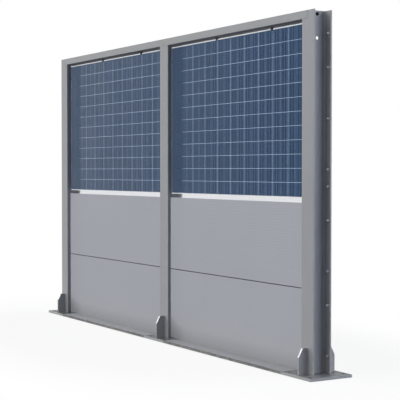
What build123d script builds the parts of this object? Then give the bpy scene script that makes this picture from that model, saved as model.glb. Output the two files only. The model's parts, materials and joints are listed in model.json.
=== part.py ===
"""Highway noise barrier: two bays of solar panes over absorbing cassettes, between three steel posts.

Frame: millimetres, origin at the centre of the underside of the middle base plate.
+X runs along the barrier, +Y points to the rear, +Z up.
"""
import os

from build123d import *

# ---- overall ----
POST_PITCH = 3236.0
TOTAL_HEIGHT = 4000.0
POST_X = {"left": -POST_PITCH, "middle": 0.0, "right": POST_PITCH}
BAY_X = {"left": -POST_PITCH / 2, "right": POST_PITCH / 2}

# ---- post: wide-flange section ----
FLANGE_W = 215.0
SECTION_D = 245.0
FLANGE_T = 19.0
WEB_T = 11.0
ROOT_R = 16.0
WEB_HOLE_D = 40.0
WEB_HOLE_DROPS = (36.0, 297.0)

# ---- base plate and gussets ----
PLATE_W = 556.0
PLATE_T = 32.0
PLATE_PAST_GUSSET = 37.5
ANCHOR_D = 42.0
ANCHOR_EDGE_X = 83.0
ANCHOR_EDGE_Y = 60.0
GUSSET_T = 25.0
GUSSET_REACH = 120.0
GUSSET_H = 285.0
GUSSET_CUT_Y = 51.0
GUSSET_CUT_Z = 95.0

# ---- top rail ----
RAIL_H = 90.0
RAIL_SHEET = 3.0
RAIL_END_GAP = 2.0
RAIL_BOX_WALL = 5.0
FLANGE_CLEAR = 3.0
WEB_CLEAR = 18.0

# ---- solar pane and its bars ----
PANE_T = 7.0
PANE_BITE = 12.0
PANE_FACE_Y = -8.5
PANE_END_GAP = 14.0
BAR_D = 22.0
BAR_LIP = 6.0
BAR_TOP_H = 22.0
BAR_BOTTOM_H = 64.0
BAR_SLOT_CLEAR = 0.2
RAIL_TO_BAR = 9.0
CLIP_W = 42.0
CLIP_T = 8.0
CLIP_DROP = 34.0
CLIP_OFFSETS = (-445.0, 770.0)

# ---- absorbing cassettes ----
CASSETTE_FACE_Y = -27.0
CASSETTE_SPLIT_Z = 947.5
CASSETTE_SPLIT_GAP = 6.0
CASSETTE_TOP_Z = 1898.0
CASSETTE_END_GAP = 6.0
CASSETTE_CORNER = 14.0
FRONT_SHEET = 4.0
GROOVE_PITCH = 32.5
GROOVE_W = 8.0
GROOVE_DEPTH = 0.8
TONGUE_D = 30.0
TONGUE_H = 20.0
TONGUE_CLEAR = 1.0

# ---- ledge between the base plates ----
LEDGE_LIFT = 2.0
SEAL_D = 8.0
PLATE_GAP = 2.0

# ---- cutting tools ----
CUT_PAST = 1.0
TOUCH = 0.01

# ---- derived ----
PLATE_D = SECTION_D + 2 * (GUSSET_REACH + PLATE_PAST_GUSSET)
FRONT_Y = -SECTION_D / 2
REAR_Y = SECTION_D / 2
FRONT_IN_Y = FRONT_Y + FLANGE_T
REAR_IN_Y = REAR_Y - FLANGE_T
RAIL_Z = TOTAL_HEIGHT - RAIL_H
BAY_CLEAR = POST_PITCH - WEB_T


def block(x0, x1, y0, y1, z0, z1):
    """A box given by its six faces."""
    solid = Box(x1 - x0, y1 - y0, z1 - z0)
    return Pos((x0 + x1) / 2, (y0 + y1) / 2, (z0 + z1) / 2) * solid


def along_x(outline, x0, x1):
    """Extrude a closed (y, z) outline from x0 to x1."""
    wire = Polyline(*[(y, z) for y, z in outline], close=True)
    face = Plane.YZ.offset(x0) * make_face(wire)
    return extrude(face, amount=x1 - x0)


def post(x):
    """H section with root fillets and the two holes near the top of the web."""
    half_w = FLANGE_W / 2
    half_web = WEB_T / 2
    outline = [
        (-half_w, FRONT_Y),
        (half_w, FRONT_Y),
        (half_w, FRONT_IN_Y),
        (half_web, FRONT_IN_Y),
        (half_web, REAR_IN_Y),
        (half_w, REAR_IN_Y),
        (half_w, REAR_Y),
        (-half_w, REAR_Y),
        (-half_w, REAR_IN_Y),
        (-half_web, REAR_IN_Y),
        (-half_web, FRONT_IN_Y),
        (-half_w, FRONT_IN_Y),
    ]
    section = make_face(Polyline(*outline, close=True))
    roots = [v for v in section.vertices() if abs(abs(v.X) - half_web) < TOUCH]
    section = fillet(roots, ROOT_R)
    body = extrude(Pos(x, 0, PLATE_T) * section, amount=TOTAL_HEIGHT - PLATE_T)
    for drop in WEB_HOLE_DROPS:
        hole = Plane.YZ * Cylinder(WEB_HOLE_D / 2, WEB_T * 2)
        body -= Pos(x, 0, TOTAL_HEIGHT - drop) * hole
    return body


def base_plate(x):
    """Square foot with an anchor hole near each corner."""
    plate = Pos(x, 0, PLATE_T / 2) * Box(PLATE_W, PLATE_D, PLATE_T)
    anchor_x = PLATE_W / 2 - ANCHOR_EDGE_X
    anchor_y = PLATE_D / 2 - ANCHOR_EDGE_Y
    for sx in (-1, 1):
        for sy in (-1, 1):
            hole = Cylinder(ANCHOR_D / 2, PLATE_T * 2)
            plate -= Pos(x + sx * anchor_x, sy * anchor_y, PLATE_T / 2) * hole
    return plate


def gusset(x, side):
    """Stiffener standing on the plate against the flange, its outer top corner cut off."""
    face_y = side * SECTION_D / 2
    tip_y = face_y + side * GUSSET_REACH
    top_z = PLATE_T + GUSSET_H
    outline = [
        (face_y, PLATE_T),
        (tip_y, PLATE_T),
        (tip_y, top_z - GUSSET_CUT_Z),
        (tip_y - side * GUSSET_CUT_Y, top_z),
        (face_y, top_z),
    ]
    return along_x(outline, x - GUSSET_T / 2, x + GUSSET_T / 2)


def rail_cover(mid_x):
    """Front cover of the rail: reaches the post centre lines, its lips stop short of the flanges."""
    reach = POST_PITCH / 2 - RAIL_END_GAP
    lip_reach = POST_PITCH / 2 - FLANGE_W / 2 - FLANGE_CLEAR
    front = FRONT_Y - RAIL_SHEET
    body = block(mid_x - reach, mid_x + reach, front, FRONT_Y, RAIL_Z, TOTAL_HEIGHT)
    for z0 in (RAIL_Z, TOTAL_HEIGHT - RAIL_SHEET):
        body += block(mid_x - lip_reach, mid_x + lip_reach, FRONT_Y, FRONT_IN_Y, z0, z0 + RAIL_SHEET)
    return body


def rail_box(mid_x):
    """Hollow rail between the webs, inside the flanges."""
    reach = BAY_CLEAR / 2 - WEB_CLEAR
    outer = block(mid_x - reach, mid_x + reach, FRONT_IN_Y, REAR_IN_Y, RAIL_Z, TOTAL_HEIGHT)
    inner = block(
        mid_x - reach - CUT_PAST,
        mid_x + reach + CUT_PAST,
        FRONT_IN_Y + RAIL_BOX_WALL,
        REAR_IN_Y - RAIL_BOX_WALL,
        RAIL_Z + RAIL_BOX_WALL,
        TOTAL_HEIGHT - RAIL_BOX_WALL,
    )
    return outer - inner


BAR_FRONT_Y = PANE_FACE_Y - BAR_LIP
BAR_BACK_Y = BAR_FRONT_Y + BAR_D
BAR_TOP_Z = RAIL_Z - RAIL_TO_BAR
BAR_LOW_TOP_Z = CASSETTE_TOP_Z + BAR_BOTTOM_H
PANE_REACH = BAY_CLEAR / 2 - PANE_END_GAP


def bar(mid_x, z0, z1, slot_up):
    """Horizontal glazing bar with the slot that holds one edge of the pane."""
    solid = block(mid_x - PANE_REACH, mid_x + PANE_REACH, BAR_FRONT_Y, BAR_BACK_Y, z0, z1)
    y0 = PANE_FACE_Y - BAR_SLOT_CLEAR
    y1 = PANE_FACE_Y + PANE_T + BAR_SLOT_CLEAR
    if slot_up:
        slot = block(mid_x - PANE_REACH, mid_x + PANE_REACH, y0, y1, z1 - PANE_BITE, z1)
    else:
        slot = block(mid_x - PANE_REACH, mid_x + PANE_REACH, y0, y1, z0, z0 + PANE_BITE)
    return solid - slot


def pane(mid_x):
    """Laminated pane carrying the cells."""
    z0 = BAR_LOW_TOP_Z - PANE_BITE
    z1 = BAR_TOP_Z - BAR_TOP_H + PANE_BITE
    x0 = mid_x - PANE_REACH
    x1 = mid_x + PANE_REACH
    return block(x0, x1, PANE_FACE_Y, PANE_FACE_Y + PANE_T, z0, z1)


def clips(mid_x):
    """Two clips that hang from the rail and hold the top bar."""
    out = []
    for dx in CLIP_OFFSETS:
        x0 = mid_x + dx - CLIP_W / 2
        x1 = mid_x + dx + CLIP_W / 2
        body = block(x0, x1, BAR_FRONT_Y - CLIP_T, BAR_FRONT_Y, RAIL_Z - CLIP_DROP, RAIL_Z)
        body += block(x0, x1, BAR_FRONT_Y, BAR_BACK_Y, BAR_TOP_Z, RAIL_Z)
        out.append(body)
    return Compound(children=out)


def cassette_shell(mid_x, z0, z1, tongue):
    """Closed shell behind the front sheet. The upper one stands with its groove on the lower one's tongue."""
    reach = BAY_CLEAR / 2 - CASSETTE_END_GAP
    y0 = CASSETTE_FACE_Y + FRONT_SHEET
    mid_y = (y0 + REAR_IN_Y) / 2
    body = block(mid_x - reach, mid_x + reach, y0, REAR_IN_Y, z0, z1)
    rear_corners = body.edges().filter_by(Axis.Z).group_by(Axis.Y)[-1]
    body = chamfer(rear_corners, CASSETTE_CORNER)
    half = TONGUE_D / 2
    if tongue:
        body += block(mid_x - reach, mid_x + reach, mid_y - half, mid_y + half, z1, z1 + TONGUE_H)
    else:
        half += TONGUE_CLEAR
        top = z0 - CASSETTE_SPLIT_GAP + TONGUE_H
        body -= block(mid_x - reach, mid_x + reach, mid_y - half, mid_y + half, z0, top)
    return body


def cassette_front(mid_x, z0, z1):
    """Front sheet of a cassette, rolled with level V grooves all the way up."""
    reach = BAY_CLEAR / 2 - CASSETTE_END_GAP
    y1 = CASSETTE_FACE_Y + FRONT_SHEET
    outline = [(y1, z1), (y1, z0), (CASSETTE_FACE_Y, z0)]
    count = int((z1 - z0) // GROOVE_PITCH)
    first = (z0 + z1) / 2 - (count - 1) / 2 * GROOVE_PITCH
    for i in range(count):
        z = first + i * GROOVE_PITCH
        outline.append((CASSETTE_FACE_Y, z - GROOVE_W / 2))
        outline.append((CASSETTE_FACE_Y + GROOVE_DEPTH, z))
        outline.append((CASSETTE_FACE_Y, z + GROOVE_W / 2))
    outline.append((CASSETTE_FACE_Y, z1))
    return along_x(outline, mid_x - reach, mid_x + reach)


def ledge(mid_x):
    """Strip the cassettes stand on, between the base plates."""
    reach = POST_PITCH / 2 - PLATE_W / 2 - PLATE_GAP
    y0 = -PLATE_D / 2 + SEAL_D
    return block(mid_x - reach, mid_x + reach, y0, PLATE_D / 2, LEDGE_LIFT, PLATE_T)


def ledge_seal(mid_x):
    """Dark strip along the front edge of the ledge."""
    reach = POST_PITCH / 2 - PLATE_W / 2 - PLATE_GAP
    y0 = -PLATE_D / 2
    return block(mid_x - reach, mid_x + reach, y0, y0 + SEAL_D, LEDGE_LIFT, PLATE_T)


os.makedirs("parts", exist_ok=True)

for name, x in POST_X.items():
    export_step(post(x), f"parts/post_{name}.step")
    export_step(base_plate(x), f"parts/base_plate_{name}.step")
    export_step(gusset(x, -1), f"parts/gusset_front_{name}.step")
    export_step(gusset(x, 1), f"parts/gusset_rear_{name}.step")

for name, x in BAY_X.items():
    export_step(rail_cover(x), f"parts/rail_cover_{name}.step")
    export_step(rail_box(x), f"parts/rail_box_{name}.step")
    export_step(bar(x, BAR_TOP_Z - BAR_TOP_H, BAR_TOP_Z, False), f"parts/bar_top_{name}.step")
    export_step(bar(x, CASSETTE_TOP_Z, BAR_LOW_TOP_Z, True), f"parts/bar_bottom_{name}.step")
    export_step(pane(x), f"parts/solar_pane_{name}.step")
    export_step(clips(x), f"parts/clips_{name}.step")
    lower = (PLATE_T, CASSETTE_SPLIT_Z - CASSETTE_SPLIT_GAP / 2)
    upper = (CASSETTE_SPLIT_Z + CASSETTE_SPLIT_GAP / 2, CASSETTE_TOP_Z)
    export_step(cassette_shell(x, *lower, True), f"parts/shell_lower_{name}.step")
    export_step(cassette_shell(x, *upper, False), f"parts/shell_upper_{name}.step")
    export_step(cassette_front(x, *lower), f"parts/front_lower_{name}.step")
    export_step(cassette_front(x, *upper), f"parts/front_upper_{name}.step")
    export_step(ledge(x), f"parts/ledge_{name}.step")
    export_step(ledge_seal(x), f"parts/ledge_seal_{name}.step")
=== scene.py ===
"""Looks of the highway noise barrier: materials, solar cells, bolts, welds, light and camera.

Metres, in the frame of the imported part: +X along the barrier, +Y to the rear, +Z up.
Every object sits at the origin with its place in its mesh, so a material's object
coordinates are metres in that frame.
"""

import json
import math
import random

import bmesh
import bpy
from mathutils import Matrix, Vector

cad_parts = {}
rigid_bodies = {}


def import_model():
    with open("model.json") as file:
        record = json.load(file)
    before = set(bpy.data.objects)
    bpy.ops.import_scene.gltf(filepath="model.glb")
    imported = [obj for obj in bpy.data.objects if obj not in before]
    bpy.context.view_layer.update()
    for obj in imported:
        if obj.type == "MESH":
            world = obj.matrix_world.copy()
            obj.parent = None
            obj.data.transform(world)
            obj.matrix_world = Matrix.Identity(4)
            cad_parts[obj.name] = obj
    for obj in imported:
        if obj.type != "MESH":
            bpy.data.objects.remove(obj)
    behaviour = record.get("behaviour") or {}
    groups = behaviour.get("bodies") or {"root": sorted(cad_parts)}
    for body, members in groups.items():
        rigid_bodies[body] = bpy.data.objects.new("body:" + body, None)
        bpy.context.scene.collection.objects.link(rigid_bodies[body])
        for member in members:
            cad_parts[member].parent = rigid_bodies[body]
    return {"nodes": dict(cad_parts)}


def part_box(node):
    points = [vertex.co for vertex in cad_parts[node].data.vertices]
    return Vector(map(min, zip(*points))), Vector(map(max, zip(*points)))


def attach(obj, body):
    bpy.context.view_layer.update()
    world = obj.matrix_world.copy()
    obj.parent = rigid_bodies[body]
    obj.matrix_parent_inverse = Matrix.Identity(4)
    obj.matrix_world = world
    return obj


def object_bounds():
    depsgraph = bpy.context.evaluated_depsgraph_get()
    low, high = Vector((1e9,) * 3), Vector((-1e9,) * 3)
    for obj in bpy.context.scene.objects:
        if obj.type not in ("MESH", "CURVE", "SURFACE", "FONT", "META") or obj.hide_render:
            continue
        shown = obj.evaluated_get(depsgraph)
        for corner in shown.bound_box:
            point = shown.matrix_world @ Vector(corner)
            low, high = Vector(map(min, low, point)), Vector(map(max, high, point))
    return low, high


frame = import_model()
cad_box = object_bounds()
nodes = frame["nodes"]

POSTS = ("left", "middle", "right")
BAYS = ("left", "right")


# ---------------------------------------------------------------- helpers for shader nodes

def srgb(red, green, blue):
    """Linear colour of an 8-bit screen colour."""
    out = []
    for value in (red, green, blue):
        share = value / 255
        out.append(share / 12.92 if share <= 0.04045 else ((share + 0.055) / 1.055) ** 2.4)
    return (*out, 1.0)


def scaled(colour, factor):
    """A colour made lighter or darker."""
    return (*[min(1.0, c * factor) for c in colour[:3]], 1.0)


def new_material(name):
    """An empty node material: its tree and its Principled shader."""
    material = bpy.data.materials.new(name)
    material.use_nodes = True
    tree = material.node_tree
    return material, tree, tree.nodes["Principled BSDF"]


def add_node(tree, kind, **settings):
    """A new node with some of its own settings."""
    node = tree.nodes.new(kind)
    for key, value in settings.items():
        setattr(node, key, value)
    return node


def feed(tree, value, socket):
    """Link a socket, or write a plain value, into an input."""
    if isinstance(value, bpy.types.NodeSocket):
        tree.links.new(value, socket)
    else:
        socket.default_value = value


def calc(tree, operation, first, second=0.0):
    """One math node."""
    node = add_node(tree, "ShaderNodeMath", operation=operation)
    feed(tree, first, node.inputs[0])
    feed(tree, second, node.inputs[1])
    return node.outputs[0]


def remap(tree, value, before, after):
    """Map one pair of values to another, held at both ends."""
    node = add_node(tree, "ShaderNodeMapRange", clamp=True)
    for socket, amount in zip(node.inputs, (value, *before, *after)):
        feed(tree, amount, socket)
    return node.outputs[0]


MIX_FIRST_COLOUR = 6
MIX_SECOND_COLOUR = 7
MIX_RESULT_COLOUR = 2


def blend_colour(tree, share, first, second):
    """First colour at share 0, second at 1."""
    node = add_node(tree, "ShaderNodeMix", data_type="RGBA")
    feed(tree, share, node.inputs["Factor"])
    feed(tree, first, node.inputs[MIX_FIRST_COLOUR])
    feed(tree, second, node.inputs[MIX_SECOND_COLOUR])
    return node.outputs[MIX_RESULT_COLOUR]


def two_tones(tree, share, colour, tones):
    """A darker tone of a colour at share 0, a lighter one at 1."""
    darker, lighter = tones
    return blend_colour(tree, share, scaled(colour, darker), scaled(colour, lighter))


def place(tree, stretch=(1.0, 1.0, 1.0)):
    """Object coordinates, scaled for a stretched pattern."""
    coords = add_node(tree, "ShaderNodeTexCoord").outputs["Object"]
    mapping = add_node(tree, "ShaderNodeMapping")
    tree.links.new(coords, mapping.inputs["Vector"])
    mapping.inputs["Scale"].default_value = stretch
    return mapping.outputs["Vector"]


def noise(tree, per_metre, detail=3.0, stretch=(1.0, 1.0, 1.0)):
    """Noise of so many features a metre."""
    node = add_node(tree, "ShaderNodeTexNoise")
    tree.links.new(place(tree, stretch), node.inputs["Vector"])
    node.inputs["Scale"].default_value = per_metre
    node.inputs["Detail"].default_value = detail
    return node.outputs[0]


def part_of(tree, vector, axis):
    """One of the three parts of a vector."""
    split = add_node(tree, "ShaderNodeSeparateXYZ")
    tree.links.new(vector, split.inputs[0])
    return split.outputs[axis]


def height(tree):
    """Height above the ground."""
    return part_of(tree, place(tree), "Z")


NOISE_SPREAD = (0.3, 0.7)


def varied(tree, pattern, limits):
    """A noise pattern spread between two values."""
    return remap(tree, pattern, NOISE_SPREAD, limits)


def around(value, spread):
    """The two values a little below and above one."""
    return (value + spread[0], value + spread[1])


BEVEL_SAMPLES = 6
EDGE_DOTS = (0.99, 0.86)


def edge_share(tree, radius):
    """0 on flats, rising to 1 within radius of an edge, with the rounded normal for shading."""
    bevel = add_node(tree, "ShaderNodeBevel", samples=BEVEL_SAMPLES)
    bevel.inputs["Radius"].default_value = radius
    flat = add_node(tree, "ShaderNodeNewGeometry").outputs["Normal"]
    dot = add_node(tree, "ShaderNodeVectorMath", operation="DOT_PRODUCT")
    tree.links.new(bevel.outputs[0], dot.inputs[0])
    tree.links.new(flat, dot.inputs[1])
    return remap(tree, dot.outputs["Value"], EDGE_DOTS, (0.0, 1.0)), bevel.outputs[0]


def bump(tree, shader, height_value, depth, normal):
    """Bump of so many metres into the shader's normal."""
    node = add_node(tree, "ShaderNodeBump")
    node.inputs["Distance"].default_value = depth
    tree.links.new(height_value, node.inputs["Height"])
    tree.links.new(normal, node.inputs["Normal"])
    tree.links.new(node.outputs[0], shader.inputs["Normal"])


# ---------------------------------------------------------------- colours

POST_PAINT = srgb(150, 152, 156)
RAIL_PAINT = srgb(150, 152, 155)
SHEET_PAINT = srgb(170, 173, 181)
LEDGE_PAINT = srgb(190, 192, 198)
CLIP_PAINT = srgb(62, 64, 68)
RUBBER = srgb(96, 97, 99)
ALUMINIUM = srgb(226, 228, 231)
ZINC = srgb(172, 174, 178)
TINNED = srgb(205, 225, 250)
CELL_BLUE = srgb(45, 69, 100)
SHEET_BEHIND_CELLS = srgb(46, 69, 98)
# Painted reflection: a pale sheen laid over the panes, stronger towards the row's left end.
REFLECTION_PALE = srgb(205, 207, 210)
# Pale road dust; on painted steel it also paints light onto the parts near the ground.
ROAD_DUST = srgb(162, 160, 155)
# Painted highlight: the glint on sloping faces, such as a gusset's cut top.
SLOPE_GLINT = srgb(240, 241, 243)


# ---------------------------------------------------------------- weather on paint and sheets, with painted shade and light

RUN_WIDTH_SQUASH = 3.0
RUN_FULL = 0.8
RUN_TONE = 0.9
DUST_AND_LIGHT_TOP = 0.45
DUST_AND_LIGHT_SPREAD = (0.35, 0.7)
DUST_AND_LIGHT_LEAST = 0.3
PAINT_DUST_AND_LIGHT = 0.35
WEAR_SPREAD = (0.4, 0.65)
WEAR_LEAST = 0.2
WORN_TONE = 1.3
# Painted shade darkens a colour to this share of itself.
SHADE_TONE = 0.2

# How far up a face looks, from -1 to 1, where each kind of face begins or ends.
UNDERSIDES = (-0.7, -0.3)
UPRIGHTS = (0.2, 0.3)
SLOPES_END = (0.8, 0.7)
ANY_TOPS = (0.6, 0.9)
LEVEL_TOPS = (0.8, 0.95)

# How open a spot is where its painted shade begins and where the painted shade is full.
SKY_SAMPLES = 6
POCKET_REACH = 0.1
POCKET_OPENNESS = (0.75, 0.3)
POCKET_SHADE = 0.55
HOLE_OPENNESS = (0.95, 0.6)
PLATE_HOLE_SHADE = 0.95
FOOT_REACH = 0.2
FOOT_OPENNESS = (0.95, 0.5)
FOOT_SHADE = 0.25


def facing_up(tree):
    """1 on a top, 0 on a wall, -1 on an underside."""
    return part_of(tree, add_node(tree, "ShaderNodeNewGeometry").outputs["True Normal"], "Z")


def mottled(tree, colour, per_metre, tones):
    """A colour in broad patches a little darker and lighter."""
    patches = varied(tree, noise(tree, per_metre, detail=4.0), (0.0, 1.0))
    return two_tones(tree, patches, colour, tones)


def with_runs(tree, tone, colour, per_metre, height_squash, start, share):
    """Faint upright runs over a tone."""
    pattern = noise(tree, per_metre, stretch=(RUN_WIDTH_SQUASH, RUN_WIDTH_SQUASH, height_squash))
    runs = remap(tree, pattern, (start, RUN_FULL), (0.0, share))
    return blend_colour(tree, runs, tone, scaled(colour, RUN_TONE))


def low_down(tree, share):
    """A share that grows from nothing at a height above the ground to all of it at the ground."""
    return remap(tree, height(tree), (DUST_AND_LIGHT_TOP, 0.0), (0.0, share))


def dusted_and_lit_low(tree, tone):
    """Patchy pale road dust low down, which also paints light onto the lower parts."""
    patches = remap(tree, noise(tree, per_metre=14.0), DUST_AND_LIGHT_SPREAD, (DUST_AND_LIGHT_LEAST, 1.0))
    share = calc(tree, "MULTIPLY", low_down(tree, PAINT_DUST_AND_LIGHT), patches)
    return blend_colour(tree, share, tone, ROAD_DUST)


def with_worn_edges(tree, tone, colour, edge, wear):
    """Edges rubbed lighter, with breaks in the rubbing."""
    breaks = remap(tree, noise(tree, per_metre=45.0), WEAR_SPREAD, (WEAR_LEAST, 1.0))
    share = calc(tree, "MULTIPLY", calc(tree, "MULTIPLY", edge, breaks), wear)
    return blend_colour(tree, share, tone, scaled(colour, WORN_TONE))


def with_painted_slope_glint(tree, tone):
    """Painted highlight: sloping faces, such as a gusset's cut top, made bright as a glint."""
    up = facing_up(tree)
    above_upright = remap(tree, up, UPRIGHTS, (0.0, 1.0))
    below_level = remap(tree, up, SLOPES_END, (0.0, 1.0))
    return blend_colour(tree, calc(tree, "MULTIPLY", above_upright, below_level), tone, SLOPE_GLINT)


def openness(tree, reach, own_shape_only):
    """How open a spot is to the sky around it, 1 in the open, looking so many metres out."""
    sky = add_node(tree, "ShaderNodeAmbientOcclusion", samples=SKY_SAMPLES, only_local=own_shape_only)
    sky.inputs["Distance"].default_value = reach
    return sky.outputs["AO"]


def painted_pocket_shade(tree):
    """Painted shade in deep pockets, such as the one between a post's flanges."""
    return remap(tree, openness(tree, POCKET_REACH, True), POCKET_OPENNESS, (0.0, POCKET_SHADE))


def painted_plate_shade(tree, top_share):
    """Painted shade in a plate's holes and all over its top, darker beside whatever stands on it."""
    hole = remap(tree, openness(tree, POCKET_REACH, True), HOLE_OPENNESS, (0.0, PLATE_HOLE_SHADE))
    on_top = remap(tree, facing_up(tree), ANY_TOPS, (0.0, 1.0))
    near = openness(tree, FOOT_REACH, False)
    lying = remap(tree, near, FOOT_OPENNESS, (top_share, top_share + FOOT_SHADE))
    return calc(tree, "MAXIMUM", hole, calc(tree, "MULTIPLY", lying, on_top))


# ---------------------------------------------------------------- painted steel

PAINT_GLOSS = 0.25
PLATE_GLOSS = 0.5
LEDGE_GLOSS = 0.3
# Painted shade over the tops of the plates and the ledge, as a share of the full shade.
PLATE_TOP_SHADE = 0.38
LEDGE_TOP_SHADE = 0.05
PAINT_WEAR = 0.15
CLIP_WEAR = 0.9
EDGE_RADIUS = 0.003
PAINT_TONES = (0.975, 1.02)
PAINT_ROUGH_SPREAD = (-0.02, 0.03)
PAINT_GRAIN = 420.0
PAINT_GRAIN_DEPTH = 0.00003


def paint_shine(tree, gloss, dull_top):
    """The paint's gloss: none on undersides, and none on level tops where asked."""
    up = facing_up(tree)
    shine = remap(tree, up, UNDERSIDES, (0.0, gloss))
    if dull_top:
        shine = calc(tree, "MULTIPLY", shine, remap(tree, up, LEVEL_TOPS, (1.0, 0.0)))
    return shine


def painted_steel(
    name,
    colour,
    roughness,
    wear=PAINT_WEAR,
    gloss=PAINT_GLOSS,
    top_shade=0.0,
    dust_and_light=True,
    slope_glint=False,
    dull_top=True,
):
    """Satin paint with mottle, faint runs and worn edges, painted shade in hollows and on plate tops,
    and where asked pale dust that paints light low down and a painted glint on slopes.
    """
    material, tree, shader = new_material(name)
    tone = mottled(tree, colour, per_metre=2.3, tones=PAINT_TONES)
    tone = with_runs(tree, tone, colour, per_metre=9.0, height_squash=0.12, start=0.5, share=0.22)
    # Pale dust low down, which also paints light onto the lower steel.
    if dust_and_light:
        tone = dusted_and_lit_low(tree, tone)
    edge, rounded = edge_share(tree, EDGE_RADIUS)
    tone = with_worn_edges(tree, tone, colour, edge, wear)
    # Painted shade: in deep pockets, or in a plate's holes and on its top.
    painted_shade = painted_plate_shade(tree, top_shade) if top_shade else painted_pocket_shade(tree)
    tone = blend_colour(tree, painted_shade, tone, scaled(colour, SHADE_TONE))
    # Painted glint on sloping faces, where asked.
    if slope_glint:
        tone = with_painted_slope_glint(tree, tone)
    tree.links.new(tone, shader.inputs["Base Color"])
    blotches = noise(tree, per_metre=7.0, detail=2.0)
    rough = varied(tree, blotches, around(roughness, PAINT_ROUGH_SPREAD))
    tree.links.new(rough, shader.inputs["Roughness"])
    tree.links.new(paint_shine(tree, gloss, dull_top), shader.inputs["Specular IOR Level"])
    bump(tree, shader, noise(tree, PAINT_GRAIN, detail=2.0), PAINT_GRAIN_DEPTH, rounded)
    return material


# ---------------------------------------------------------------- cassette sheets

SHEET_DUST = 0.3
SHEET_WEAR = 0.2
SHEET_WORN_TONE = 1.25
SHEET_EDGE_RADIUS = 0.001
SHEET_TONES = (0.985, 1.015)
SHEET_ROUGH_SPREAD = (-0.04, 0.05)
SHEET_SHINE = 0.1
SHEET_GRAIN = 380.0
HOLE_PITCH = 0.006
HOLE_RADIUS = 0.0014
HOLE_SOFTNESS = 0.1
HOLE_SHARE = 0.35
HOLE_TONE = 0.3
JOINT_Z = (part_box("front_lower_left")[1].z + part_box("front_upper_left")[0].z) / 2
# Painted shade: a dark line along the joint between the two cassettes.
JOINT_SHADE_H = 0.0045
JOINT_SHADE_FADE = 1.4
JOINT_SHADE = 0.8
JOINT_SHADE_TONE = 0.1
# Painted shade rising from a cassette's foot.
SHEET_FOOT_SHADE_TOP = 0.22
SHEET_FOOT_SHADE_FULL = 0.05
SHEET_FOOT_SHADE = 0.3


def turned_about(tree, vector, angles):
    """Coordinates turned by three angles."""
    node = add_node(tree, "ShaderNodeMapping")
    node.inputs["Rotation"].default_value = angles
    tree.links.new(vector, node.inputs["Vector"])
    return node.outputs[0]


def fine_holes(tree):
    """Rows of round staggered holes on the sheets' upright faces."""
    on_face = turned_about(tree, place(tree), (math.pi / 2, 0.0, 0.0))
    grid = add_node(tree, "ShaderNodeTexVoronoi", voronoi_dimensions="2D")
    grid.inputs["Scale"].default_value = 1 / HOLE_PITCH
    grid.inputs["Randomness"].default_value = 0.0
    tree.links.new(turned_about(tree, on_face, (0.0, 0.0, math.pi / 4)), grid.inputs["Vector"])
    radius = HOLE_RADIUS / HOLE_PITCH
    outside = radius * (1 + HOLE_SOFTNESS)
    inside = radius * (1 - HOLE_SOFTNESS)
    return remap(tree, grid.outputs["Distance"], (outside, inside), (0.0, HOLE_SHARE))


def with_foot_and_joint_shade(tree, tone, colour):
    """Painted shade up from the foot of a cassette, and a dark line of painted shade along the joint
    between two.
    """
    foot = remap(tree, height(tree), (SHEET_FOOT_SHADE_TOP, SHEET_FOOT_SHADE_FULL), (0.0, SHEET_FOOT_SHADE))
    tone = blend_colour(tree, foot, tone, scaled(colour, SHADE_TONE))
    from_joint = calc(tree, "ABSOLUTE", calc(tree, "SUBTRACT", height(tree), JOINT_Z))
    fades = (JOINT_SHADE_H, JOINT_SHADE_H * JOINT_SHADE_FADE)
    joint = remap(tree, from_joint, fades, (JOINT_SHADE, 0.0))
    return blend_colour(tree, joint, tone, scaled(colour, JOINT_SHADE_TONE))


def perforated_sheet(name, colour, roughness):
    """Coated sheet with fine holes, a little dust and rubbed edges, and painted shade at its foot and
    joint.
    """
    material, tree, shader = new_material(name)
    tone = mottled(tree, colour, per_metre=1.4, tones=SHEET_TONES)
    tone = with_runs(tree, tone, colour, per_metre=7.0, height_squash=0.1, start=0.52, share=0.16)
    tone = blend_colour(tree, low_down(tree, SHEET_DUST), tone, ROAD_DUST)
    tone = blend_colour(tree, fine_holes(tree), tone, scaled(colour, HOLE_TONE))
    edge, rounded = edge_share(tree, SHEET_EDGE_RADIUS)
    worn = calc(tree, "MULTIPLY", edge, SHEET_WEAR)
    tone = blend_colour(tree, worn, tone, scaled(colour, SHEET_WORN_TONE))
    tree.links.new(with_foot_and_joint_shade(tree, tone, colour), shader.inputs["Base Color"])
    blotches = noise(tree, per_metre=22.0, detail=4.0)
    rough = varied(tree, blotches, around(roughness, SHEET_ROUGH_SPREAD))
    tree.links.new(rough, shader.inputs["Roughness"])
    shader.inputs["Specular IOR Level"].default_value = SHEET_SHINE
    bump(tree, shader, noise(tree, SHEET_GRAIN, detail=2.0), PAINT_GRAIN_DEPTH, rounded)
    return material


# ---------------------------------------------------------------- bare metal and rubber

METAL_EDGE_RADIUS = 0.001
METAL_TONES = (0.95, 1.03)
METAL_ROUGH_SPREAD = (-0.03, 0.05)
METAL_GRAIN = 900.0
METAL_GRAIN_DEPTH = 0.00002
BRUSH_STRETCH = 0.03
BEAD_H = 0.012
BEAD_FOOT_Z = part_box("bar_bottom_left")[1].z - BEAD_H
BEAD_HEAD_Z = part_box("bar_top_left")[0].z + BEAD_H
BEAD_ROUGHNESS = 0.5


def bead_share(tree):
    """1 within the height of the bead on the bars' edges next to the glass, 0 elsewhere."""
    above_foot = calc(tree, "GREATER_THAN", height(tree), BEAD_FOOT_Z)
    below_head = calc(tree, "LESS_THAN", height(tree), BEAD_HEAD_Z)
    return calc(tree, "MULTIPLY", above_foot, below_head)


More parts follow.
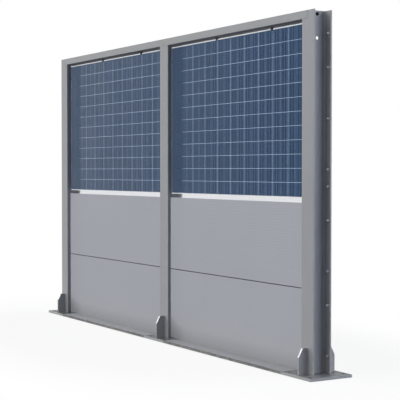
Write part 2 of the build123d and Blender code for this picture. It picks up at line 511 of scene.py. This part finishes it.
def bright_metal(name, colour, roughness, metallic, brushed=False, beaded=False):
    """Bare metal, duller in patches; brushed along the barrier, with a matt bead, where asked."""
    material, tree, shader = new_material(name)
    stretch = (BRUSH_STRETCH, 1.0, 1.0) if brushed else (1.0, 1.0, 1.0)
    patch = noise(tree, per_metre=6.0, detail=4.0)
    tone = two_tones(tree, patch, colour, METAL_TONES)
    tree.links.new(tone, shader.inputs["Base Color"])
    rough = varied(tree, patch, around(roughness, METAL_ROUGH_SPREAD))
    if beaded:
        matt = bead_share(tree)
        tree.links.new(remap(tree, matt, (0.0, 1.0), (metallic, 0.0)), shader.inputs["Metallic"])
        rough = calc(tree, "MAXIMUM", rough, calc(tree, "MULTIPLY", matt, BEAD_ROUGHNESS))
    else:
        shader.inputs["Metallic"].default_value = metallic
    tree.links.new(rough, shader.inputs["Roughness"])
    rounded = edge_share(tree, METAL_EDGE_RADIUS)[1]
    bump(tree, shader, noise(tree, METAL_GRAIN, 2.0, stretch), METAL_GRAIN_DEPTH, rounded)
    return material


RUBBER_EDGE_RADIUS = 0.002
RUBBER_GRAIN = 600.0
RUBBER_GRAIN_DEPTH = 0.0001
RUBBER_DUST_SPREAD = (0.4, 0.7)
RUBBER_DUST = 0.5
RUBBER_ROUGHNESS = (0.7, 0.85)


def rubber(name, colour):
    """Dull dark rubber with dust on it."""
    material, tree, shader = new_material(name)
    patches = noise(tree, per_metre=16.0, detail=5.0)
    dust = remap(tree, patches, RUBBER_DUST_SPREAD, (0.0, RUBBER_DUST))
    tone = blend_colour(tree, dust, colour, ROAD_DUST)
    tree.links.new(tone, shader.inputs["Base Color"])
    rough = varied(tree, noise(tree, per_metre=80.0), RUBBER_ROUGHNESS)
    tree.links.new(rough, shader.inputs["Roughness"])
    rounded = edge_share(tree, RUBBER_EDGE_RADIUS)[1]
    bump(tree, shader, noise(tree, RUBBER_GRAIN, detail=2.0), RUBBER_GRAIN_DEPTH, rounded)
    return material


# ---------------------------------------------------------------- solar panes

GLASS_COAT_WEIGHT = 0.02
GLASS_COAT_IOR = 1.5
GLASS_COAT_ROUGHNESS = 0.05
GLASS_DUST_WEIGHT = 0.6
GLASS_DUST_ROUGHNESS = 0.3
# Painted reflection over the panes: its most, at the row's left end, and its unevenness.
REFLECTION_MOST = 0.11
REFLECTION_UNEVENNESS = (0.85, 1.15)
CELL_TONES = (0.93, 1.07)
CELL_ROUGHNESS = (0.38, 0.5)
FLAKES_PER_METRE = 70.0
FLAKE_STRETCH = 0.6
FLAKE_SPREAD = (0.2, 0.8)
FLAKE_SHARE = 0.3
FLAKE_TONE = 1.35
BACKING_TONES = (0.9, 1.1)
BACKING_ROUGHNESS = (0.3, 0.4)
RIBBON_TONES = (0.94, 1.04)
RIBBON_ROUGHNESS = (0.12, 0.2)


def glazed(shader):
    """The anti-glare glass over the cells, with its film of dust."""
    shader.inputs["Coat Weight"].default_value = GLASS_COAT_WEIGHT
    shader.inputs["Coat IOR"].default_value = GLASS_COAT_IOR
    shader.inputs["Coat Roughness"].default_value = GLASS_COAT_ROUGHNESS
    shader.inputs["Sheen Weight"].default_value = GLASS_DUST_WEIGHT
    shader.inputs["Sheen Roughness"].default_value = GLASS_DUST_ROUGHNESS
    shader.inputs["Specular IOR Level"].default_value = 0.0


def with_painted_reflection(tree, tone):
    """Painted reflection: a pale film over a pane's colour, stronger towards the row's left end and
    uneven.
    """
    along = part_of(tree, place(tree), "X")
    reflection_along_row = remap(tree, along, (cad_box[0].x, cad_box[1].x), (REFLECTION_MOST, 0.0))
    uneven = varied(tree, noise(tree, per_metre=1.7), REFLECTION_UNEVENNESS)
    share = calc(tree, "MULTIPLY", reflection_along_row, uneven)
    return blend_colour(tree, share, tone, REFLECTION_PALE)


def silicon(name, colour):
    """Blue cells under glass: each cell its own tone, with crystal flakes."""
    material, tree, shader = new_material(name)
    each = add_node(tree, "ShaderNodeNewGeometry").outputs["Random Per Island"]
    tone = two_tones(tree, each, colour, CELL_TONES)
    flakes = add_node(tree, "ShaderNodeTexVoronoi")
    flakes.inputs["Scale"].default_value = FLAKES_PER_METRE
    tree.links.new(place(tree, (1.0, 1.0, FLAKE_STRETCH)), flakes.inputs["Vector"])
    grey = add_node(tree, "ShaderNodeRGBToBW")
    tree.links.new(flakes.outputs["Color"], grey.inputs[0])
    light = remap(tree, grey.outputs[0], FLAKE_SPREAD, (0.0, FLAKE_SHARE))
    tone = blend_colour(tree, light, tone, scaled(colour, FLAKE_TONE))
    tree.links.new(with_painted_reflection(tree, tone), shader.inputs["Base Color"])
    rough = remap(tree, grey.outputs[0], (0.0, 1.0), CELL_ROUGHNESS)
    tree.links.new(rough, shader.inputs["Roughness"])
    glazed(shader)
    return material


def backing(name, colour):
    """The dark sheet that shows between and round the cells, under the same glass."""
    material, tree, shader = new_material(name)
    cloudy = noise(tree, per_metre=5.0, detail=4.0)
    tone = two_tones(tree, cloudy, colour, BACKING_TONES)
    tree.links.new(with_painted_reflection(tree, tone), shader.inputs["Base Color"])
    rough = varied(tree, noise(tree, per_metre=60.0), BACKING_ROUGHNESS)
    tree.links.new(rough, shader.inputs["Roughness"])
    glazed(shader)
    return material


def ribbon(name, colour):
    """Tinned ribbon under the glass, a little dull where the solder spread."""
    material, tree, shader = new_material(name)
    patch = noise(tree, per_metre=35.0)
    tone = two_tones(tree, patch, colour, RIBBON_TONES)
    tree.links.new(tone, shader.inputs["Base Color"])
    tree.links.new(varied(tree, patch, RIBBON_ROUGHNESS), shader.inputs["Roughness"])
    shader.inputs["Metallic"].default_value = 1.0
    return material


# ---------------------------------------------------------------- which material goes where

MATERIALS = {
    "post_steel": painted_steel("paint_posts", POST_PAINT, roughness=0.3),
    "rail_steel": painted_steel("paint_rail", RAIL_PAINT, roughness=0.3, dust_and_light=False),
    "plate_steel": painted_steel(
        "paint_plates",
        POST_PAINT,
        roughness=0.22,
        gloss=PLATE_GLOSS,
        top_shade=PLATE_TOP_SHADE,
        dull_top=False,
    ),
    "gusset_steel": painted_steel("paint_gussets", POST_PAINT, roughness=0.3, slope_glint=True),
    "ledge_steel": painted_steel(
        "paint_ledge",
        LEDGE_PAINT,
        roughness=0.35,
        gloss=LEDGE_GLOSS,
        top_shade=LEDGE_TOP_SHADE,
        dull_top=False,
    ),
    "clip_steel": painted_steel(
        "paint_clips",
        CLIP_PAINT,
        roughness=0.45,
        wear=CLIP_WEAR,
        dust_and_light=False,
    ),
    "cassette": perforated_sheet("coat_cassettes", SHEET_PAINT, roughness=0.55),
    "bright_aluminium": bright_metal(
        "bright_bars",
        ALUMINIUM,
        roughness=0.12,
        metallic=0.95,
        brushed=True,
        beaded=True,
    ),
    "solar_glass": backing("pane_backing", SHEET_BEHIND_CELLS),
    "seal_rubber": rubber("sealing_strip", RUBBER),
    "cells": silicon("cells_blue", CELL_BLUE),
    "ribbon": ribbon("tinned_ribbon", TINNED),
    "zinc": bright_metal("zinc_bolts", ZINC, roughness=0.35, metallic=1.0),
}

# The material of each piece from the frame, by the first word of its name.
SLOT_OF_NODE = {
    "post": "post_steel",
    "base": "plate_steel",
    "gusset": "gusset_steel",
    "rail": "rail_steel",
    "bar": "bright_aluminium",
    "solar": "solar_glass",
    "clips": "clip_steel",
    "shell": "cassette",
    "front": "cassette",
    "ledge": "ledge_steel",
}

for name, obj in nodes.items():
    slot_name = SLOT_OF_NODE[name.split("_")[0]]
    if name.startswith("ledge_seal"):
        slot_name = "seal_rubber"
    obj.data.materials.clear()
    obj.data.materials.append(MATERIALS[slot_name])


# ---------------------------------------------------------------- helpers for pieces

def mesh_object(name, mesh, material):
    """An object at the origin from a finished mesh."""
    data = bpy.data.meshes.new(name)
    mesh.to_mesh(data)
    mesh.free()
    data.materials.append(material)
    obj = bpy.data.objects.new(name, data)
    bpy.context.scene.collection.objects.link(obj)
    return obj


def make_piece(name, mesh, material):
    """An object of the part, riding on its one body."""
    mesh.normal_update()
    obj = mesh_object(name, mesh, MATERIALS[material])
    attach(obj, "root")
    return obj


def add_turned(mesh, x, z, rings, segments, turn=0.0):
    """A closed body about an axis along Y: rings of (y, radius), capped at both ends."""
    loops = []
    for y, radius in rings:
        loop = []
        for i in range(segments):
            angle = turn + 2 * math.pi * i / segments
            corner = (x + radius * math.cos(angle), y, z + radius * math.sin(angle))
            loop.append(mesh.verts.new(corner))
        loops.append(loop)
    for a, b in zip(loops, loops[1:]):
        for i in range(segments):
            j = (i + 1) % segments
            mesh.faces.new((a[i], b[i], b[j], a[j]))
    mesh.faces.new(loops[0])
    mesh.faces.new(list(reversed(loops[-1])))


# ---------------------------------------------------------------- cells and strips on the panes

def add_slab(mesh, x0, x1, z0, z1, y_back, y_face, corner=0.0):
    """A thin plate on a pane, its corners cut off where asked."""
    points = [(x0, z0), (x1, z0), (x1, z1), (x0, z1)]
    if corner:
        points = [
            (x0 + corner, z0),
            (x1 - corner, z0),
            (x1, z0 + corner),
            (x1, z1 - corner),
            (x1 - corner, z1),
            (x0 + corner, z1),
            (x0, z1 - corner),
            (x0, z0 + corner),
        ]
    if y_face > y_back:
        points.reverse()
    face = [mesh.verts.new((x, y_face, z)) for x, z in points]
    back = [mesh.verts.new((x, y_back, z)) for x, z in points]
    mesh.faces.new(face)
    mesh.faces.new(list(reversed(back)))
    for i in range(len(points)):
        j = (i + 1) % len(points)
        mesh.faces.new((face[i], back[i], back[j], face[j]))


CELL_ROWS = 12
CELL_COLUMNS = 20
CELL_PITCH_X = 0.1525
# The field of cells sits this far to the right of the middle of its pane.
CELL_FIELD_SHIFT = 0.0185
CELL_GAP = 0.003
CELL_CORNER = 0.002
CELL_LIFT = 0.0003
STRIP_LIFT = 0.0006
ROW_STRIP_H = 0.0026
PAIR_STRIP_W = 0.0037
MID_STRIP_W = 0.0015
BUSBARS = 3
BUSBAR_W = 0.0012


def cell_columns(bay):
    """Lines between the cell columns of a bay, from the left edge to the right."""
    low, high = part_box(f"solar_pane_{bay}")
    start = (low.x + high.x) / 2 + CELL_FIELD_SHIFT - CELL_COLUMNS / 2 * CELL_PITCH_X
    return [start + i * CELL_PITCH_X for i in range(CELL_COLUMNS + 1)]


def cell_rows(bay):
    """Heights of the lines between the cell rows, from bar to bar."""
    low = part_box(f"bar_bottom_{bay}")[1].z
    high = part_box(f"bar_top_{bay}")[0].z
    return [low + i * (high - low) / CELL_ROWS for i in range(CELL_ROWS + 1)]


def cells(bay, y_glass, side):
    """All the cells on one face of a pane."""
    mesh = bmesh.new()
    half = CELL_GAP / 2
    y_cell = y_glass + side * CELL_LIFT
    zs = cell_rows(bay)
    for x in cell_columns(bay)[:-1]:
        x0 = x + half
        x1 = x + CELL_PITCH_X - half
        for z0, z1 in zip(zs, zs[1:]):
            add_slab(mesh, x0, x1, z0 + half, z1 - half, y_glass, y_cell, CELL_CORNER)
    return mesh


def add_uprights(mesh, x, width, zs, y0, y1):
    """A strip up each cell of a column, between the rows' own strips."""
    for z0, z1 in zip(zs, zs[1:]):
        low = z0 + ROW_STRIP_H / 2
        high = z1 - ROW_STRIP_H / 2
        add_slab(mesh, x - width / 2, x + width / 2, low, high, y0, y1)


def strips(bay, y_glass, side):
    """Bright strips: between the rows, between the columns, and the busbars up each cell."""
    mesh = bmesh.new()
    xs = cell_columns(bay)
    zs = cell_rows(bay)
    y0 = y_glass + side * CELL_LIFT
    y1 = y_glass + side * STRIP_LIFT
    for z in zs[1:-1]:
        add_slab(mesh, xs[0], xs[-1], z - ROW_STRIP_H / 2, z + ROW_STRIP_H / 2, y0, y1)
    for i, x in enumerate(xs[1:-1], start=1):
        add_uprights(mesh, x, PAIR_STRIP_W if i % 2 else MID_STRIP_W, zs, y0, y1)
    for x in xs[:-1]:
        for n in range(BUSBARS):
            add_uprights(mesh, x + (n + 0.5) * CELL_PITCH_X / BUSBARS, BUSBAR_W, zs, y0, y1)
    return mesh


for bay in BAYS:
    glass_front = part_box(f"solar_pane_{bay}")[0].y
    glass_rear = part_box(f"solar_pane_{bay}")[1].y
    for face, y_glass, side in (("front", glass_front, -1), ("rear", glass_rear, 1)):
        make_piece(f"cells_{face}_{bay}", cells(bay, y_glass, side), "cells")
        mesh = strips(bay, y_glass, side)
        make_piece(f"cell_strips_{face}_{bay}", mesh, "ribbon")


# ---------------------------------------------------------------- bolts

FLANGE_T = 0.019
BOLT_FROM_CENTRE = 0.07
# The bolts' heights, down from the top of the post.
BOLT_DROPS = (0.248, 0.618, 1.176, 1.732, 1.919, 2.290, 2.846, 3.221, 3.781)
BOLT_R = 0.010
BOLT_SEGMENTS = 16
BOLT_TIP_CHAMFER = 0.001
NUT_ACROSS_CORNERS = 0.0346
NUT_H = 0.016
NUT_SIDES = 6
NUT_CHAMFER_SHARE = 0.12
WASHER_R = 0.0185
WASHER_T = 0.003
WASHER_SEGMENTS = 24
THREAD_OUT = 0.006


def add_bolt_end(mesh, x, z, y_face, side, turn, threaded):
    """Washer and hexagon on a flange face; a nut also has the bolt's end through it."""
    y1 = y_face + side * WASHER_T
    y2 = y1 + side * NUT_H
    radius = NUT_ACROSS_CORNERS / 2
    chamfer = radius * NUT_CHAMFER_SHARE
    hexagon = [(y1, radius), (y2 - side * chamfer, radius), (y2, radius - chamfer)]
    add_turned(mesh, x, z, [(y_face, WASHER_R), (y1, WASHER_R)], WASHER_SEGMENTS)
    add_turned(mesh, x, z, hexagon, NUT_SIDES, turn)
    if threaded:
        y3 = y2 + side * THREAD_OUT
        shoulder = y3 - side * BOLT_TIP_CHAMFER
        bolt_end = [(y2, BOLT_R), (shoulder, BOLT_R), (y3, BOLT_R - BOLT_TIP_CHAMFER)]
        add_turned(mesh, x, z, bolt_end, BOLT_SEGMENTS)


def bolts(post, rng):
    """Bolts through the rear flange, two a height, with nuts in the open pocket at a row's end."""
    mesh = bmesh.new()
    low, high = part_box(f"post_{post}")
    centre = (low.x + high.x) / 2
    for side_x in (-1, 1):
        at_row_end = post == "left" and side_x < 0 or post == "right" and side_x > 0
        for drop in BOLT_DROPS:
            x = centre + side_x * BOLT_FROM_CENTRE
            z = high.z - drop
            turn = rng.uniform(0, 2 * math.pi / NUT_SIDES)
            add_bolt_end(mesh, x, z, high.y, 1, turn, threaded=False)
            if at_row_end:
                add_bolt_end(mesh, x, z, high.y - FLANGE_T, -1, turn, threaded=True)
    bmesh.ops.recalc_face_normals(mesh, faces=mesh.faces)
    return mesh


SEED = 11
rng = random.Random(SEED)
for post in POSTS:
    make_piece(f"bolts_{post}", bolts(post, rng), "zinc")


# ---------------------------------------------------------------- plugs in the posts' webs

WEB_T = 0.011
WEB_HOLE_R = 0.02
WEB_HOLE_DROP = 0.297
PLUG_EASE = 0.0005
PLUG_CHAMFER = 0.0005
PLUG_SEGMENTS = 32
PLUGGED_POSTS = ("left", "middle")


def web_plug(post):
    """A rubber plug flush in a post's web hole, beside the end of the pane."""
    mesh = bmesh.new()
    low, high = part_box(f"post_{post}")
    half = WEB_T / 2 - PLUG_EASE
    radius = WEB_HOLE_R - PLUG_EASE
    shoulder = half - PLUG_CHAMFER
    end_radius = radius - PLUG_CHAMFER
    rings = [(-half, end_radius), (-shoulder, radius), (shoulder, radius), (half, end_radius)]
    add_turned(mesh, 0.0, 0.0, rings, PLUG_SEGMENTS)
    across_web = Matrix.Rotation(math.pi / 2, 4, "Z")
    into_hole = Matrix.Translation(((low.x + high.x) / 2, 0.0, high.z - WEB_HOLE_DROP))
    bmesh.ops.transform(mesh, matrix=into_hole @ across_web, verts=mesh.verts)
    bmesh.ops.recalc_face_normals(mesh, faces=mesh.faces)
    return mesh


for post in PLUGGED_POSTS:
    make_piece(f"plug_{post}", web_plug(post), "seal_rubber")


# ---------------------------------------------------------------- welds

WELD_LEG = 0.007
WELD_STEP = 0.004
WELD_POINTS = 4
WELD_HOLLOW = 0.16
WELD_RIPPLE = 0.06
WELD_UNEVENNESS = 0.08


def add_weld(mesh, start, end, out_a, out_b, rng):
    """A fillet bead in the corner from start to end, between the two outward directions."""
    start = Vector(start)
    end = Vector(end)
    steps = max(2, round((end - start).length / WELD_STEP))
    rows = []
    for i in range(steps + 1):
        uneven = rng.uniform(-WELD_UNEVENNESS, WELD_UNEVENNESS)
        ripple = 1.0 + uneven + (WELD_RIPPLE if i % 2 else -WELD_RIPPLE)
        centre = start.lerp(end, i / steps)
        row = [mesh.verts.new(centre)]
        for n in range(WELD_POINTS):
            angle = n / (WELD_POINTS - 1) * math.pi / 2
            reach = WELD_LEG * (1.0 - WELD_HOLLOW * math.sin(2 * angle)) * ripple
            out = out_a * math.cos(angle) + out_b * math.sin(angle)
            row.append(mesh.verts.new(centre + out * reach))
        rows.append(row)
    for a, b in zip(rows, rows[1:]):
        for n in range(len(a)):
            m = (n + 1) % len(a)
            mesh.faces.new((a[n], a[m], b[m], b[n]))
    mesh.faces.new(list(reversed(rows[0])))
    mesh.faces.new(rows[-1])


def welds(post, rng):
    """Beads along the feet of a post's flanges and both sides of its gussets."""
    mesh = bmesh.new()
    low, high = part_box(f"post_{post}")
    up = Vector((0, 0, 1))
    for which, side_y, face_y in (("front", -1, low.y), ("rear", 1, high.y)):
        g_low, g_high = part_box(f"gusset_{which}_{post}")
        tip = g_low.y if side_y < 0 else g_high.y
        outward = Vector((0, side_y, 0))
        for side_x, gusset_x, flange_x in ((-1, g_low.x, low.x), (1, g_high.x, high.x)):
            aside = Vector((side_x, 0, 0))
            corner = (gusset_x, face_y, low.z)
            add_weld(mesh, corner, (gusset_x, face_y, g_high.z), aside, outward, rng)
            add_weld(mesh, corner, (gusset_x, tip, low.z), aside, up, rng)
            add_weld(mesh, corner, (flange_x, face_y, low.z), outward, up, rng)
    bmesh.ops.recalc_face_normals(mesh, faces=mesh.faces)
    return mesh


for post in POSTS:
    bead = make_piece(f"welds_{post}", welds(post, rng), "post_steel")
    bead.data.shade_smooth()


# ---------------------------------------------------------------- floor

FLOOR_REACH = 60.0
FLOOR_SEGMENTS = 96
FLOOR_GREY = 0.2
FLOOR_ROUGHNESS = 0.9
FLOOR_SPECKLE = (0.98, 1.0)
FLOOR_LIT_SHARE = 0.12
FLOOR_WHITE_FROM = 1.9
FLOOR_WHITE_AT = 3.2
FLOOR_ALONG_ROW = 0.5
FLOOR_SKY_SAMPLES = 8
HOLE_LOOKS_UP = 0.06
HOLE_FLOOR_OPENNESS = (0.36, 0.46)


def seen_share(tree):
    """1 for rays from the camera, mirrors and glass, 0 for light that falls on things."""
    path = add_node(tree, "ShaderNodeLightPath")
    seen = calc(tree, "MAXIMUM", path.outputs["Is Camera Ray"], path.outputs["Is Glossy Ray"])
    return calc(tree, "MAXIMUM", seen, path.outputs["Is Transmission Ray"])


def floor_glow(tree):
    """How much of the floor's look is plain white: most by the row, all far off, none in a hole."""
    length = add_node(tree, "ShaderNodeVectorMath", operation="LENGTH")
    tree.links.new(place(tree, (FLOOR_ALONG_ROW, 1.0, 1.0)), length.inputs[0])
    away = length.outputs["Value"]
    white = remap(tree, away, (FLOOR_WHITE_FROM, FLOOR_WHITE_AT), (1.0 - FLOOR_LIT_SHARE, 1.0))
    sky = add_node(tree, "ShaderNodeAmbientOcclusion", samples=FLOOR_SKY_SAMPLES)
    sky.inputs["Distance"].default_value = HOLE_LOOKS_UP
    out_of_holes = remap(tree, sky.outputs["AO"], HOLE_FLOOR_OPENNESS, (0.0, 1.0))
    return calc(tree, "MULTIPLY", white, out_of_holes)


def floor_material():
    """Pale floor: grey to the light, near white to the eye, with the shadow kept."""
    material, tree, shader = new_material("pale_floor")
    speckle = varied(tree, noise(tree, per_metre=3.0, detail=4.0), FLOOR_SPECKLE)
    seen = seen_share(tree)
    grey = blend_colour(tree, seen, (FLOOR_GREY, FLOOR_GREY, FLOOR_GREY, 1.0), speckle)
    tree.links.new(grey, shader.inputs["Base Color"])
    shader.inputs["Roughness"].default_value = FLOOR_ROUGHNESS
    shader.inputs["Specular IOR Level"].default_value = 0.0
    glow = add_node(tree, "ShaderNodeEmission")
    mix = add_node(tree, "ShaderNodeMixShader")
    tree.links.new(calc(tree, "MULTIPLY", seen, floor_glow(tree)), mix.inputs[0])
    tree.links.new(shader.outputs[0], mix.inputs[1])
    tree.links.new(glow.outputs[0], mix.inputs[2])
    tree.links.new(mix.outputs[0], tree.nodes["Material Output"].inputs["Surface"])
    return material


mesh = bmesh.new()
bmesh.ops.create_circle(mesh, cap_ends=True, segments=FLOOR_SEGMENTS, radius=FLOOR_REACH)
floor = mesh_object("floor", mesh, floor_material())


# ---------------------------------------------------------------- backdrop

AMBIENT = 0.03
AMBIENT_COLOUR = (0.97, 0.985, 1.0, 1.0)
BEHIND_GREY = 0.5
BEHIND_FROM = (0.1, 0.4)


def backdrop_colour(tree):
    """White to the eye; mirrored in the part it is grey on the rear side."""
    rearward = part_of(tree, add_node(tree, "ShaderNodeTexCoord").outputs["Generated"], "Y")
    mirrored = remap(tree, rearward, BEHIND_FROM, (1.0, BEHIND_GREY))
    seen = add_node(tree, "ShaderNodeLightPath").outputs["Is Camera Ray"]
    return calc(tree, "MAXIMUM", seen, mirrored)


def make_world():
    """White to the eye, and a soft even light on the part."""
    world = bpy.data.worlds.new("studio")
    world.use_nodes = True
    bpy.context.scene.world = world
    tree = world.node_tree
    soft = tree.nodes["Background"]
    soft.inputs["Color"].default_value = AMBIENT_COLOUR
    soft.inputs["Strength"].default_value = AMBIENT
    white = add_node(tree, "ShaderNodeBackground")
    tree.links.new(backdrop_colour(tree), white.inputs["Color"])
    mix = add_node(tree, "ShaderNodeMixShader")
    tree.links.new(seen_share(tree), mix.inputs[0])
    tree.links.new(soft.outputs[0], mix.inputs[1])
    tree.links.new(white.outputs[0], mix.inputs[2])
    tree.links.new(mix.outputs[0], tree.nodes["World Output"].inputs["Surface"])


# ---------------------------------------------------------------- lamps

WHITE = (1.0, 1.0, 1.0)
WARM_WHITE = (1.0, 0.99, 0.975)
SKY_BLUE = (0.72, 0.80, 1.0)
PALE_BLUE = (0.83, 0.87, 1.0)
COOL_WHITE = (0.88, 0.93, 1.0)


def sun(name, towards, strength, width, colour):
    """A soft distant lamp so many degrees wide, seen from the part in the direction given.

    At strength 1 it shows a matt surface that faces it in the surface's own colour.
    """
    lamp = bpy.data.lights.new(name, "SUN")
    lamp.energy = strength * math.pi
    lamp.angle = math.radians(width)
    lamp.color = colour
    obj = bpy.data.objects.new(name, lamp)
    obj.rotation_mode = "QUATERNION"
    obj.rotation_quaternion = Vector(towards).to_track_quat("Z", "Y")
    bpy.context.scene.collection.objects.link(obj)
    return obj


def group_of(name, wanted):
    """A collection for a lamp: the meshes whose names are wanted."""
    group = bpy.data.collections.new(name)
    for obj in bpy.context.scene.objects:
        if obj.type == "MESH" and wanted(obj.name):
            group.objects.link(obj)
    return group


def in_a_bay(name):
    """Pieces that stand in a bay, between the posts."""
    return name.startswith(("front_", "shell_", "solar_", "bar_", "cell"))


def outside_bays(name):
    """Everything else: posts, rails, plates, ledges, their small parts and the floor."""
    return not in_a_bay(name)


def may_shade_bays(name):
    """Everything but the posts and rails."""
    return not name.startswith(("post_", "rail_"))


def lamp_pair(name, towards, strength, width, colour):
    """The same lamp twice: on the bays it casts no shadow of the posts and rails.

    The bays' lamp is sampled as a lamp only, since a ray that meets a post by chance
    on its way to a wide lamp would bring that shadow back.
    """
    lamp = sun(name, towards, strength, width, colour)
    lamp.light_linking.receiver_collection = group_of(f"{name}_not_panels", outside_bays)
    lamp = sun(f"{name}_panels", towards, strength, width, colour)
    lamp.light_linking.receiver_collection = group_of(f"{name}_on_panels", in_a_bay)
    lamp.light_linking.blocker_collection = group_of(f"{name}_not_frame", may_shade_bays)
    lamp.data.cycles.use_multiple_importance_sampling = False


make_world()
lamp_pair("key", (-0.80, -0.445, 0.40), 0.28, 16.0, WHITE)
lamp_pair("front", (-0.1, -0.93, 0.34), 0.57, 70.0, WARM_WHITE)
lamp_pair("fill", (-0.4, -0.85, 0.34), 0.23, 50.0, WHITE)
sun("side", (0.98, 0.0, 0.21), 0.165, 44.0, SKY_BLUE)
sun("rim", (0.72, 0.65, 0.22), 0.46, 50.0, PALE_BLUE)
sun("back", (0.32, 0.91, 0.26), 0.76, 58.0, COOL_WHITE)


# ---------------------------------------------------------------- camera

CAMERA_AT = (13.4073, -7.5175, 2.256)
CAMERA_DOWN = 1.4667
CAMERA_TURN = 59.3252
CAMERA_LENS = 103.47
CAMERA_SENSOR = 36.0
CAMERA_SEES_TO = 500.0

camera_data = bpy.data.cameras.new("camera")
camera_data.lens = CAMERA_LENS
camera_data.sensor_width = CAMERA_SENSOR
camera_data.clip_end = CAMERA_SEES_TO
camera = bpy.data.objects.new("camera", camera_data)
camera.location = CAMERA_AT
camera.rotation_euler = (math.radians(90 - CAMERA_DOWN), 0.0, math.radians(CAMERA_TURN))
bpy.context.scene.collection.objects.link(camera)
bpy.context.scene.camera = camera
bpy.context.scene.view_settings.view_transform = "Standard"
